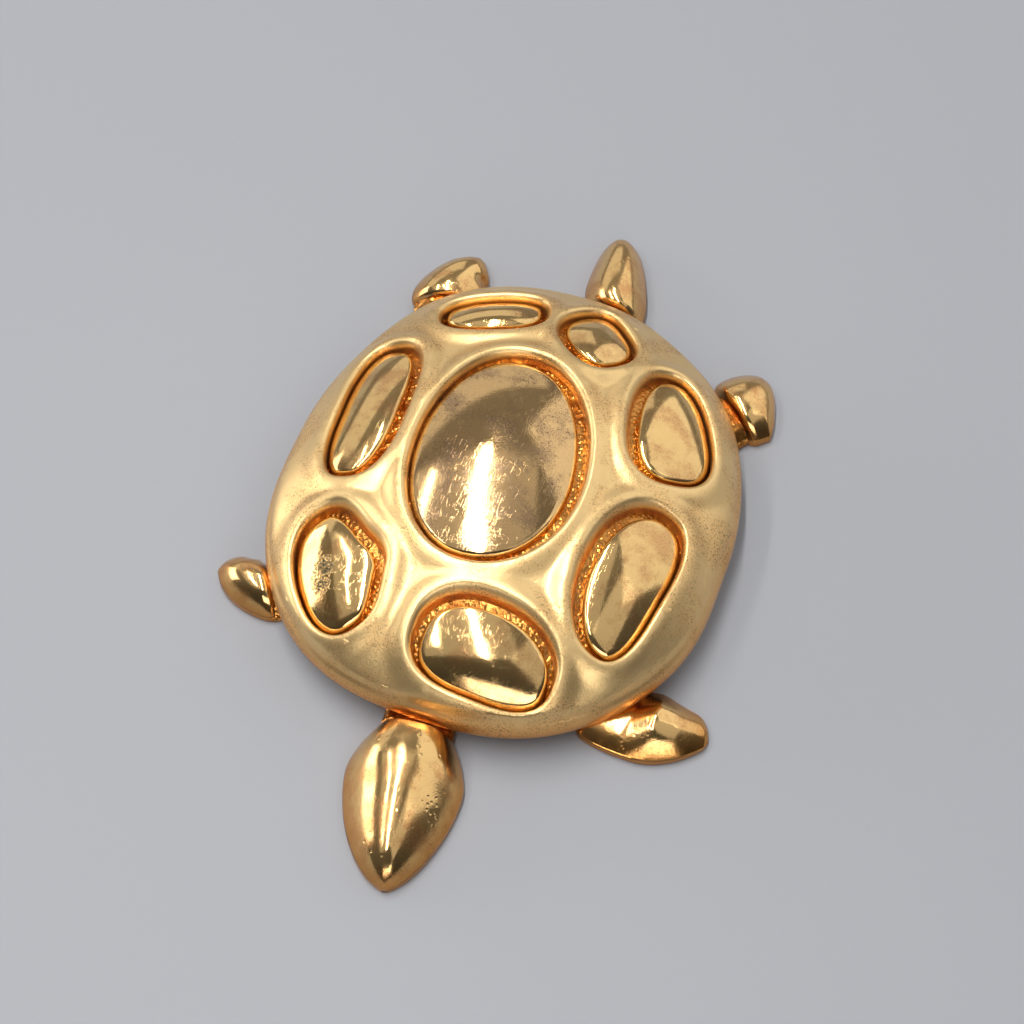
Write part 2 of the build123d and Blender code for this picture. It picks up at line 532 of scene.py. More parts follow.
@dataclass(frozen=True)
class GoldFinish:
    """Gold plating on cast metal: its colour, polish, fine grain, scratches and wear, and a painted shade.

    Patches vary the colour and the polish over a few millimetres; the grain is the fine tooth of the
    surface; dots are the dark speckle of the worn patches; scratches are hairlines from wear, each set
    with its turn and its size; pits are small dark dents in the plating; spots are where it is eaten
    away. Low is a painted shade, a deeper and more orange colour towards the bottom, and its span the
    heights that it fades out over. The other spans, and the gate, are where in a noise a mark comes in.
    """

    name: str
    colour: str
    worn: str
    roughness: float
    patch_size: float = 3.0 * MM
    patch_roughness: float = 0.06
    wear_span: tuple[float, float] = (0.42, 0.68)
    grain_size: float = 0.08 * MM
    grain_depth: float = 0.0
    speckle: float = 0.0
    dot_size: float = 0.12 * MM
    dot_colour: str = "#5E4A33"
    dot_span: tuple[float, float] = (0.52, 0.66)
    dot_gate: tuple[float, float] = (0.42, 0.62)
    scratch_depth: float = 0.0
    scratch_width: float = 0.018
    scratch_stretch: float = 0.06
    scratch_sets: tuple[tuple[float, float], ...] = ((0.5, 0.9 * MM), (-0.9, 1.3 * MM), (1.7, 1.1 * MM))
    pit_depth: float = 0.0
    pit_size: float = 0.55 * MM
    pit_patch: float = 4 * MM
    spots: tuple[tuple[Vector, float], ...] = ()
    spot_depth: float = 0.09 * MM
    spot_grain: float = 0.35 * MM
    spot_colour: str = "#45473A"
    # Painted shade: a deeper, more orange colour towards the bottom, and the heights that it fades out over.
    low: str = ""
    painted_shade_span: tuple[float, float] = (2.2 * MM, 4.6 * MM)

    def build(self) -> bpy.types.Material:
        """Builds the material."""
        tree = Tree(bpy.data.materials.new(self.name))
        where = tree.add("TexCoord", out="Object")
        patches = tree.add("TexNoise", {"Vector": where, "Scale": 1 / self.patch_size, "Detail": 4.0,
                                        "Roughness": 0.6})
        fine = tree.add("TexNoise", {"Vector": where, "Scale": 1 / self.grain_size, "Detail": 2.0})
        wear = tree.add("MapRange", (patches, *self.wear_span, 0.0, 1.0), **SMOOTH)
        colour = tree.add("Mix", {0: wear, 6: linear(self.colour), 7: linear(self.worn)}, **COLOURS)
        # Painted shade: the colour turns deeper and more orange towards the bottom, below the heights of its
        # span.
        if self.low:
            up = tree.add("SeparateXYZ", (where,), "Z")
            out_of_painted_shade = tree.add("MapRange", (up, *self.painted_shade_span, 0.0, 1.0), **SMOOTH)
            colour = tree.add("Mix", {0: out_of_painted_shade, 6: linear(self.low), 7: colour}, **COLOURS)
        bright = self.roughness - self.patch_roughness
        dull = self.roughness + self.patch_roughness
        rough = tree.add("MapRange", (patches, 0.3, 0.7, bright, dull), **SMOOTH)
        height = tree.add("Math", (fine, self.grain_depth), **TIMES)
        if self.speckle:
            dots = tree.add("TexNoise", {"Vector": where, "Scale": 1 / self.dot_size, "Detail": 2.0})
            dots = tree.add("MapRange", (dots, *self.dot_span, 0.0, self.speckle), **SMOOTH)
            gate = tree.add("MapRange", (patches, *self.dot_gate, 0.1, 1.0), **SMOOTH)
            dots = tree.add("Math", (dots, gate), **TIMES)
            colour = tree.add("Mix", {0: dots, 6: colour, 7: linear(self.dot_colour)}, **COLOURS)
            rough = tree.add("Math", (rough, tree.add("Math", (dots, 0.25), **TIMES)))
        if self.scratch_depth:
            height = tree.add("Math", (height, self.scratches(tree, where)))
        if self.pit_depth:
            height = tree.add("Math", (height, self.pits(tree, where)))
        for place, size in self.spots:
            # A ragged noise bites into the round edge, and the fine grain shows through inside.
            away = tree.add("VectorMath", (where, place), "Value", operation="DISTANCE")
            ragged = tree.add("TexNoise", {"Vector": where, "Scale": 1 / self.spot_grain, "Detail": 3.0})
            edge = tree.add("Math", (away, tree.add("Math", (ragged, -1.6 * size), **TIMES)))
            inside = tree.add("MapRange", (edge, -0.45 * size, 0.05 * size, 1.0, 0.0), **SMOOTH)
            eaten = tree.add("MapRange", (fine, 0.45, 0.58, 0.25, 1.0), **SMOOTH)
            inside = tree.add("Math", (inside, eaten), **TIMES)
            colour = tree.add("Mix", {0: inside, 6: colour, 7: linear(self.spot_colour)}, **COLOURS)
            rough = tree.add("Math", (rough, tree.add("Math", (inside, 0.3), **TIMES)))
            deep = tree.add("Math", (inside, ragged), **TIMES)
            height = tree.add("Math", (height, tree.add("Math", (deep, -self.spot_depth), **TIMES)))
        bump = tree.add("Bump", {"Height": height, "Distance": 1.0, "Strength": 1.0})
        tree.put(tree.nodes["Principled BSDF"], {"Base Color": colour, "Roughness": rough, "Normal": bump,
                                                 "Metallic": 1.0})
        return tree.owner

    def scratches(self, tree: Tree, where: bpy.types.NodeSocket) -> bpy.types.NodeSocket:
        """Hairline scratches in a few directions, broken up into short lengths."""
        total = None
        for turn, size in self.scratch_sets:
            turned = tree.add("Mapping", {"Vector": where, "Rotation": (0.3, 0.2, turn),
                                          "Scale": (1.0, self.scratch_stretch, 1.0)})
            lines = tree.add("TexNoise", {"Vector": turned, "Scale": 4 / size, "Detail": 1.0})
            off = tree.add("Math", (lines, 0.5), operation="SUBTRACT")
            off = tree.add("Math", (off,), operation="ABSOLUTE")
            thin = tree.add("MapRange", (off, 0.0, self.scratch_width, 1.0, 0.0), **SMOOTH)
            broken = tree.add("TexNoise", {"Vector": where, "Scale": 1 / size, "Detail": 1.0})
            depth = tree.add("MapRange", (broken, 0.5, 0.62, 0.0, -self.scratch_depth), **SMOOTH)
            part = tree.add("Math", (thin, depth), **TIMES)
            total = part if total is None else tree.add("Math", (total, part))
        return total

    def pits(self, tree: Tree, where: bpy.types.NodeSocket) -> bpy.types.NodeSocket:
        """Small dents, gathered in patches."""
        cells = tree.add("TexVoronoi", {"Vector": where, "Scale": 1 / self.pit_size}, "Distance")
        hole = tree.add("MapRange", (cells, 0.1, 0.3, -self.pit_depth, 0.0), **SMOOTH)
        patch = tree.add("TexNoise", {"Vector": where, "Scale": 1 / self.pit_patch, "Detail": 1.0})
        gate = tree.add("MapRange", (patch, 0.5, 0.62, 0.0, 1.0), **SMOOTH)
        return tree.add("Math", (hole, gate), **TIMES)


@dataclass(frozen=True)
class Finishes:
    """The finishes of the brooch, each built once."""

    satin: bpy.types.Material
    polished: bpy.types.Material
    scute: bpy.types.Material
    rubbed: bpy.types.Material
    spotted: bpy.types.Material
    grained: bpy.types.Material
    finding: bpy.types.Material

    @classmethod
    def make(cls, form: ShellForm) -> Finishes:
        """Builds every finish.

        Args:
            form: The shell's form, for the place of the corroded spot.

        Returns:
            The finishes.
        """
        # The corroded spot lies across the left front scute, just under its top.
        spot = Vector((-9.35 * MM, -12.0 * MM, 0.0))
        spot = Vector((spot.x, spot.y, form.height(spot, -0.1 * MM) - 0.2 * MM)) + form.centre()
        # Satin gold plating over blasted cast metal: soft, even and pale, with a fine tooth, and a painted
        # shade that turns it deeper and more orange low on the rolled edge.
        satin = GoldFinish("satin_gold", "#F4D092", "#EBC184", 0.36, patch_roughness=0.03,
                           grain_depth=0.017 * MM, grain_size=0.11 * MM, speckle=0.6,
                           pit_depth=0.006 * MM, low="#E3A45E")
        # Polished gold plating on cast metal, with hairlines, small casting pits and coppery wear, and a
        # painted shade that turns it deeper and more orange low on the head, limbs and tail.
        polished = GoldFinish("polished_gold", "#EFC583", "#DBA56A", 0.15, patch_size=1.8 * MM,
                              patch_roughness=0.06, grain_depth=0.004 * MM, grain_size=0.12 * MM,
                              scratch_depth=0.0008 * MM, speckle=0.35, pit_depth=0.012 * MM,
                              low="#D3924C", painted_shade_span=(0.3 * MM, 2.2 * MM))
        # Mirror-polished gold plating with fine scratches.
        mirror = GoldFinish("mirror_gold", "#EDC685", "#D8A970", 0.10, patch_size=2.0 * MM,
                            patch_roughness=0.04, grain_depth=0.002 * MM, grain_size=0.12 * MM,
                            scratch_depth=0.0008 * MM, speckle=0.3)
        # The same plating rubbed thin on the highest scute, so that the silvery brown metal comes through.
        rubbed = replace(mirror, name="rubbed_gold", colour="#DFB880", worn="#B5946F", roughness=0.09,
                         patch_size=2.6 * MM, patch_roughness=0.05, grain_depth=0.0025 * MM,
                         scratch_depth=0.0010 * MM, speckle=0.9)
        # The same plating where a spot of it is eaten away.
        spotted = replace(mirror, name="corroded_gold", grain_depth=0.003 * MM, scratch_depth=0.0009 * MM,
                          speckle=0.0, spots=((spot + Vector((0.2 * MM, 0.5 * MM, 0)), 1.15 * MM),
                                              (spot + Vector((0.1 * MM, -0.9 * MM, 0)), 0.95 * MM)))
        # Deep gold left in the recesses, where polishing never reached.
        grained = GoldFinish("grained_gold", "#CC8B45", "#9E5C26", 0.22, patch_roughness=0.04,
                             grain_depth=0.006 * MM)
        # Plain gold plating on the pin finding.
        finding = GoldFinish("finding_gold", "#E3BE7E", "#D8B274", 0.22, patch_roughness=0.04,
                             grain_depth=0.001 * MM, scratch_depth=0.0008 * MM)
        finishes = (satin, polished, mirror, rubbed, spotted, grained, finding)
        return cls(*(finish.build() for finish in finishes))


# A window's wall and lip, from the foot up and out: mm outside the window's outline, the share of the
# wall's height, and mm above that.
LIP_STEPS = (
    (-0.14, 0.0, 0.0),
    (-0.13, 0.35, 0.0),
    (-0.11, 0.7, 0.0),
    (-0.08, 0.9, -0.10),
    (-0.03, 1.0, -0.10),
    (0.03, 1.0, 0.06),
    (0.10, 1.0, 0.20),
    (0.19, 1.0, 0.305),
    (0.31, 1.0, 0.385),
    (0.42, 1.0, 0.418),
)
# The rolled edge, from the inner wall round and up: mm inside the shell's outline, and mm high.
EDGE_STEPS = (
    (1.2, 2.2),
    (1.18, 1.96),
    (0.9, 1.9),
    (0.46, 1.9),
    (0.25, 1.97),
    (0.09, 2.14),
    (0.0, 2.42),
    (0.0, 2.80),
    (0.05, 3.12),
    (0.14, 3.38),
    (0.25, 3.58),
)
# Where the rolled edge runs into the dome: mm inside the outline, mm below the dome, and the share of
# the lips' lift.
CREST_STEPS = (
    (0.36, 0.30, 0.1),
    (0.46, 0.20, 0.35),
    (0.56, 0.08, 0.7),
    (0.66, 0.01, 1.0),
)


@dataclass(frozen=True)
class PiercedShell:
    """The domed satin casting: eight windows with rounded lips, a soft web and a rolled edge.

    Spacing is the size of the cells on top, and coarser how many times larger they are underneath.
    Stitch is the gap, in cells, between the grid and the rings round it.
    """

    form: ShellForm
    wall: float = 1.2 * MM
    lip_height: float = 0.42 * MM
    lip_crest: float = 0.48 * MM
    lip_reach: float = 1.9 * MM
    spacing: float = 0.3 * MM
    coarser: int = 3
    stitch: float = 0.45
    loop_points: int = 72
    lip_points: int = 900

    def build(self, material: bpy.types.Material) -> bpy.types.Object:
        """Builds the shell.

        Args:
            material: Its finish.

        Returns:
            The object, standing for the CAD shell.
        """
        mesher = Mesher()
        lips = self.lip_trees()
        rings = [self.window_rings(mesher, window) for window in WINDOWS]
        rings.append(self.rim_rings(mesher, lips))
        tops = [edge for _, top in rings for edge in top]
        self.fill(mesher, tops, self.spacing, LIP_STEPS[-1][0] * MM, CREST_STEPS[-1][0] * MM)
        for vert in mesher.bm.verts:
            if not vert[mesher.own]:
                vert[mesher.rise] = self.form.height(vert.co) + self.lift(vert.co, lips)
                vert[mesher.own] = 1
        bottoms = [edge for bottom, _ in rings for edge in bottom]
        self.fill(mesher, bottoms, self.coarser * self.spacing, LIP_STEPS[0][0] * MM, self.wall)
        for vert in mesher.bm.verts:
            if not vert[mesher.own]:
                vert[mesher.rise] = self.form.height(vert.co, self.wall)
        for vert in mesher.bm.verts:
            vert.co.z = vert[mesher.rise]
        shell = mesher.finish("pierced_shell", self.form.centre(), material)
        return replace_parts(shell, "shell")

    def window_rings(self, mesher: Mesher, window: Window) -> tuple[Edges, Edges]:
        """The wall and the rounded lip of one window, laid out flat.

        Args:
            mesher: The mesh to add to.
            window: The window.

        Returns:
            The edges of the lowest ring and of the outermost ring.
        """
        outline = window.loop(self.form)
        shares = outline.shares(round(outline.length() / self.spacing))
        rings = []
        for out, share, lift in LIP_STEPS:
            places = window.loop(self.form, out * MM).places(shares)
            heights = []
            for place in places:
                low = self.form.height(place, self.wall)
                heights.append(low + (self.form.height(place) - low) * share + lift * MM)
            rings.append((places, heights))
        return mesher.sweep(rings)

    def rim_rings(self, mesher: Mesher, lips: list[KDTree]) -> tuple[Edges, Edges]:
        """The rolled edge, laid out flat.

        Args:
            mesher: The mesh to add to.
            lips: Each window's outline as a tree of points.

        Returns:
            The edges of the ring at the inner wall and of the ring on the dome.
        """
        outline = self.form.outline()
        shares = outline.shares(round(outline.length() / self.spacing))
        rings = []
        for inset, height in EDGE_STEPS:
            places = self.form.outline(inset * MM).places(shares)
            rings.append((places, [height * MM] * len(places)))
        for inset, drop, share in CREST_STEPS:
            places = self.form.outline(inset * MM).places(shares)
            heights = [self.form.height(p) - drop * MM + share * self.lift(p, lips) for p in places]
            rings.append((places, heights))
        return mesher.sweep(rings)

    def fill(self, mesher: Mesher, edges: Edges, cell: float, grow: float, inset: float) -> None:
        """Fills the web between rings that are laid out flat: an even grid, stitched to the rings.

        Args:
            mesher: The mesh.
            edges: All the edges round the web.
            cell: The size of the grid's cells.
            grow: How far outside the windows the web's rings lie.
            inset: How far inside the shell's outline the web's outer ring lies.
        """
        bm = mesher.bm
        margin = self.stitch * cell
        loops = [window.loop(self.form, grow + margin).spread(self.loop_points) for window in WINDOWS]
        size = max(self.form.width, self.form.length) / 2
        cells = round(2 * size / cell)
        verts = bmesh.ops.create_grid(bm, x_segments=cells, y_segments=cells, size=size)["verts"]
        torn = [vert for vert in verts if not self.in_web(vert.co, loops, inset + margin)]
        while torn:
            bmesh.ops.delete(bm, geom=torn, context="VERTS")
            verts = [vert for vert in verts if vert.is_valid]
            torn = [v for v in verts if not v.link_faces or sum(1 for e in v.link_edges if e.is_boundary) > 2]
        border = list(dict.fromkeys(edge for vert in verts for edge in vert.link_edges if edge.is_boundary))
        made = bmesh.ops.triangle_fill(bm, use_beauty=True, use_dissolve=False, edges=edges + border,
                                       normal=(0, 0, 1))["geom"]
        seam = [item for item in made if isinstance(item, bmesh.types.BMFace)]
        sides = {*edges, *border}
        inner = dict.fromkeys(edge for face in seam for edge in face.edges if edge not in sides)
        bmesh.ops.beautify_fill(bm, faces=seam, edges=list(inner), method="ANGLE")

    def in_web(self, place: Vector, loops: list[list[Vector]], inset: float) -> bool:
        """Whether a place lies inside the shell's outline and in none of its windows.

        Args:
            place: The place in plan.
            loops: Points round each window.
            inset: How far inside the shell's outline it has to lie.

        Returns:
            True if it does.
        """
        if math.hypot(place.x, place.y) > self.form.reach(math.atan2(place.y, place.x)) - inset:
            return False
        for loop in loops:
            inside = False
            for a, b in zip(loop, loop[1:] + loop[:1]):
                if (a.y > place.y) != (b.y > place.y):
                    if place.x < a.x + (place.y - a.y) / (b.y - a.y) * (b.x - a.x):
                        inside = not inside
            if inside:
                return False
        return True

    def lip_trees(self) -> list[KDTree]:
        """Each window's outline as a tree of close points."""
        trees = []
        for window in WINDOWS:
            points = window.loop(self.form).spread(self.lip_points)
            tree = KDTree(len(points))
            for k, point in enumerate(points):
                tree.insert(point.to_3d(), k)
            tree.balance()
            trees.append(tree)
        return trees

    def lift(self, place: Vector, lips: list[KDTree]) -> float:
        """How far the lips round the windows raise the web at a place."""
        # One lip falls off as a squared cosine, and lips that meet run softly into one another.
        flat = Vector((place.x, place.y, 0.0))
        total = 0.0
        for tree in lips:
            away = tree.find(flat)[2]
            if away < self.lip_reach:
                share = max(0.0, (away - self.lip_crest) / (self.lip_reach - self.lip_crest))
                total += math.cos(math.pi / 2 * share) ** 6
        return self.lip_height * total ** (1 / 3)


@dataclass(frozen=True)
class Scutes:
    """The polished plates that stand in the windows, each a low pillow with a tight round edge.

    Edge rounds the pillow over to its side: how far inside the side, and how far below the pillow's
    rim. Taper is how much wider the side is at its foot, and fullness how flat the pillow is.
    """

    form: ShellForm
    side_gap: float = 0.5 * MM
    drift: float = 0.3 * MM
    floor: float = 1.2 * MM
    stand: float = 0.08 * MM
    bulge: float = 0.36 * MM
    fullness: float = 2.2
    shoulder: float = 0.34 * MM
    cell: float = 0.24 * MM
    fewest_cells: int = 20
    edge: tuple[tuple[float, float], ...] = (
        (0.26, 0.035), (0.17, 0.085), (0.09, 0.16), (0.03, 0.27), (0.0, 0.42))
    taper: float = 0.04
    side_steps: tuple[float, ...] = (0.4, 0.75, 1.0)

    def build(self, finishes: Finishes) -> list[bpy.types.Object]:
        """Builds every scute.

        Args:
            finishes: The finishes.

        Returns:
            The objects, each standing for its CAD node.
        """
        special = {"left_front": finishes.spotted, "centre": finishes.rubbed}
        return [self.scute(window, special.get(window.name, finishes.scute)) for window in WINDOWS]

    def scute(self, window: Window, material: bpy.types.Material) -> bpy.types.Object:
        """Builds the scute of one window."""
        mesher = Mesher()
        top = window.loop(self.form, -self.side_gap - self.shoulder, self.drift)
        middle = top.centre()
        spots, shares = mesher.disc(max(self.fewest_cells, round(top.length() / 4 / self.cell)))
        for vert, share, out in spots:
            place = middle + (top.at(share) - middle) * out
            vert.co = place.to_3d()
            vert.co.z = self.form.height(vert.co) + self.stand - self.bulge * out ** self.fullness
        edges = mesher.boundary()
        rim = self.stand - self.bulge
        for inset, drop in self.edge:
            places = window.loop(self.form, -self.side_gap - inset * MM, self.drift).places(shares)
            for place in places:
                place.z = self.form.height(place) + rim - drop * MM
            edges = mesher.extend(edges, places)
        side_top = rim - self.edge[-1][1] * MM
        for down in self.side_steps:
            grow = self.taper * down * MM - self.side_gap
            places = window.loop(self.form, grow, self.drift).places(shares)
            for place in places:
                high = self.form.height(place) + side_top
                low = self.form.height(place, self.floor)
                place.z = high + (min(low, high) - high) * down
            edges = mesher.extend(edges, places)
        mesher.cap(edges)
        obj = mesher.finish("scute_plate_" + window.name, self.form.centre(), material)
        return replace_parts(obj, "scute_" + window.name)


@dataclass(frozen=True)
class BasePlate:
    """The domed plate under the shell, hollow at the back, with a pebbled floor in every window.

    Floor_in and floor_out are how far a floor runs inside and outside its window's outline, and
    floor_root how far it sinks into the plate.
    """

    form: ShellForm
    inset: float = 1.3 * MM
    wall: float = 1.0 * MM
    skirt: float = 0.7 * MM
    cells: int = 48
    pebble: float = 0.3 * MM
    relief: float = 0.15 * MM
    step: float = 0.09 * MM
    floor_inset: float = 0.95 * MM
    floor_in: float = 1.05 * MM
    floor_drift: float = 0.25 * MM
    floor_out: float = 0.15 * MM
    floor_width: float = 1.3 * MM
    floor_lift: float = 0.02 * MM
    floor_fade: float = 0.12
    floor_root: float = 0.1 * MM

    def build(self, material: bpy.types.Material) -> list[bpy.types.Object]:
        """Builds the plate and its pebbled floors.

        Args:
            material: The grained finish.

        Returns:
            The objects.
        """
        return [self.plate(material), *(self.floor(window, material) for window in WINDOWS)]

    def plate(self, material: bpy.types.Material) -> bpy.types.Object:
        """Builds the plain domed plate."""
        mesher = Mesher()
        shares = self.dome(mesher, self.inset)
        edges = mesher.boundary()
        for inset in (self.inset, self.inset + self.wall):
            places = self.form.outline(inset).places(shares)
            for place in places:
                place.z = self.skirt
            edges = mesher.extend(edges, places)
        self.dome(mesher, self.inset + self.wall)
        bmesh.ops.bridge_loops(mesher.bm, edges=mesher.boundary())
        plate = mesher.finish("base_plate", self.form.centre(), material)
        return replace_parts(plate, "body")

    def dome(self, mesher: Mesher, inset: float) -> list[float]:
        """Adds a disc that follows the dome, with its cells closer together towards its edge.

        Args:
            mesher: The mesh.
            inset: How far inside the shell's outer face it lies.

        Returns:
            The share of the way round of each slot of its edge.
        """
        loop = self.form.outline(inset)
        spots, shares = mesher.disc(self.cells)
        for vert, share, out in spots:
            out = 1.0 if vert.is_boundary else math.sin(math.pi / 2 * out)
            vert.co = (loop.at(share) * out).to_3d()
            vert.co.z = self.form.height(vert.co, inset)
        return shares

    def floor(self, window: Window, material: bpy.types.Material) -> bpy.types.Object:
        """Builds the pebbled strip of floor between a window's scute and its wall."""
        mesher = Mesher()
        inner = window.loop(self.form, -self.floor_in, self.floor_drift)
        outer = window.loop(self.form, self.floor_out)
        shares = outer.shares(round(outer.length() / self.step))
        steps = round(self.floor_width / self.step)
        rings = []
        for k in range(steps + 1):
            f = k / steps
            raised = smooth_step(min(f, 1 - f), 0.0, self.floor_fade)
            places = []
            for share in shares:
                place = (inner.at(share) * (1 - f) + outer.at(share) * f).to_3d()
                place.z = self.form.height(place, self.floor_inset)
                place.z += raised * (self.floor_lift + self.relief * pebbles(place, self.pebble))
                places.append(place)
            rings.append((places, None))
        root = self.inset + self.floor_root
        rings.append(([Vector((p.x, p.y, self.form.height(p, root))) for p in places], None))
        first, last = mesher.sweep(rings)
        bmesh.ops.bridge_loops(mesher.bm, edges=last + first)
        floor = mesher.finish("floor_" + window.name, self.form.centre(), material)
        return floor


@dataclass(frozen=True)
class Limb:
    """A head, flipper, leg or tail: its place on the rim, its way, its sizes and its sections.

    Root is where it stands on the rim, out the way that it leaves by, tip the way that its tip points
    and face the way that its root faces, all in degrees. Round_off is how far the edge of the root is
    rounded. Each section is how far along the limb it is, how wide and how high, as shares of its
    sizes. Soft is how smoothly the height runs through them, fullness how flat the top is, at the root
    and further out, and settle the share of the length after which the root's way has no say.
    """

    name: str
    root: float
    out: float
    tip: float
    neck: float
    length: float
    width: float
    height: float
    face: float
    round_off: float
    sections: tuple[tuple[float, float, float], ...]
    soft: float = 1.0
    fullness: tuple[float, float] = (2.4, 2.4)
    settle: float = 0.8
    bend_steps: int = 8

    def place(self, form: ShellForm, share: float) -> tuple[Vector, Vector]:
        """The middle of the limb's underside at a share of its length, and the way that its section faces."""
        spot = form.reach(math.radians(self.root)) * heading(self.root)
        spot += self.neck * MM * heading(self.out)
        for k in range(self.bend_steps):
            way = heading(self.out + (self.tip - self.out) * share * (k + 0.5) / self.bend_steps)
            spot += way * share * self.length * MM / self.bend_steps
        along = self.out + (self.tip - self.out) * share
        return spot, heading(along + (self.face - along) * (1 - smooth_step(share, 0.0, self.settle)))

    def size(self, share: float) -> tuple[float, float]:
        """The width and the height at a share of the length, in metres."""
        rows = self.sections
        k = max(i for i in range(len(rows) - 1) if rows[i][0] <= share)
        f = (share - rows[k][0]) / (rows[k + 1][0] - rows[k][0])
        before = rows[max(0, k - 1)]
        after = rows[min(len(rows) - 1, k + 2)]
        values = []
        for part in (1, 2):
            a, b, c, d = before[part], rows[k][part], rows[k + 1][part], after[part]
            gap = rows[k + 1][0] - rows[k][0]
            into = (c - a) / max(1e-6, rows[k + 1][0] - before[0]) * gap
            away = (d - b) / max(1e-6, after[0] - rows[k][0]) * gap
            curve = (2 * f ** 3 - 3 * f * f + 1) * b + (f ** 3 - 2 * f * f + f) * into
            curve += (3 * f * f - 2 * f ** 3) * c + (f ** 3 - f * f) * away
            soft = self.soft if part == 2 else 1.0
            values.append(soft * curve + (1 - soft) * (b * (1 - f) + c * f))
        return values[0] * self.width * MM, values[1] * self.height * MM


LIMBS = (
    Limb("head", 270, 277, 285, 0.45, 11.2, 8.6, 3.6, 276, 0.2,
         ((0.0, 0.64, 0.88), (0.12, 0.82, 0.95), (0.30, 0.95, 1.0), (0.56, 0.84, 0.95), (0.78, 0.60, 0.78),
          (0.92, 0.34, 0.54), (0.985, 0.13, 0.33), (1.0, 0.05, 0.24)), 1.0, (3.4, 1.95)),
    Limb("right_flipper", 315, 348, 384, -2.3, 8.06, 5.2, 2.5, 346, 0.5,
         ((0.0, 0.93, 0.70), (0.15, 1.0, 0.72), (0.36, 1.03, 0.74), (0.55, 1.02, 1.0), (0.73, 0.83, 0.82),
          (0.87, 0.61, 0.58), (0.965, 0.42, 0.40), (1.0, 0.24, 0.28)), 0.0, (2.4, 1.7)),
    Limb("left_flipper", 221, 186, 136, -0.35, 4.5, 4.6, 2.5, 208, 0.8,
         ((0.0, 0.92, 0.92), (0.22, 0.95, 1.0), (0.48, 0.84, 0.96), (0.68, 0.72, 0.84), (0.85, 0.58, 0.64),
          (0.96, 0.43, 0.42), (1.0, 0.16, 0.28)), 0.8),
    Limb("right_leg", 47, 65, 20, 1.0, 3.7, 6.9, 2.5, 50, 0.7,
         ((0.0, 0.74, 0.96), (0.14, 0.83, 1.0), (0.34, 0.87, 1.0), (0.58, 0.86, 0.92), (0.82, 0.74, 0.72),
          (0.95, 0.50, 0.50), (1.0, 0.24, 0.32))),
    Limb("left_leg", 126, 108, 34, 1.15, 5.0, 6.0, 2.5, 104, 0.6,
         ((0.0, 0.94, 0.96), (0.28, 0.96, 1.0), (0.58, 0.75, 0.92), (0.82, 0.55, 0.72), (0.95, 0.43, 0.50),
          (1.0, 0.30, 0.32))),
    Limb("tail", 86, 102, 106, 0.8, 7.8, 5.0, 3.0, 84, 0.8,
         ((0.0, 0.90, 0.96), (0.22, 1.0, 1.0), (0.50, 0.88, 0.90), (0.78, 0.65, 0.68), (0.94, 0.38, 0.46),
          (1.0, 0.12, 0.28))),
)


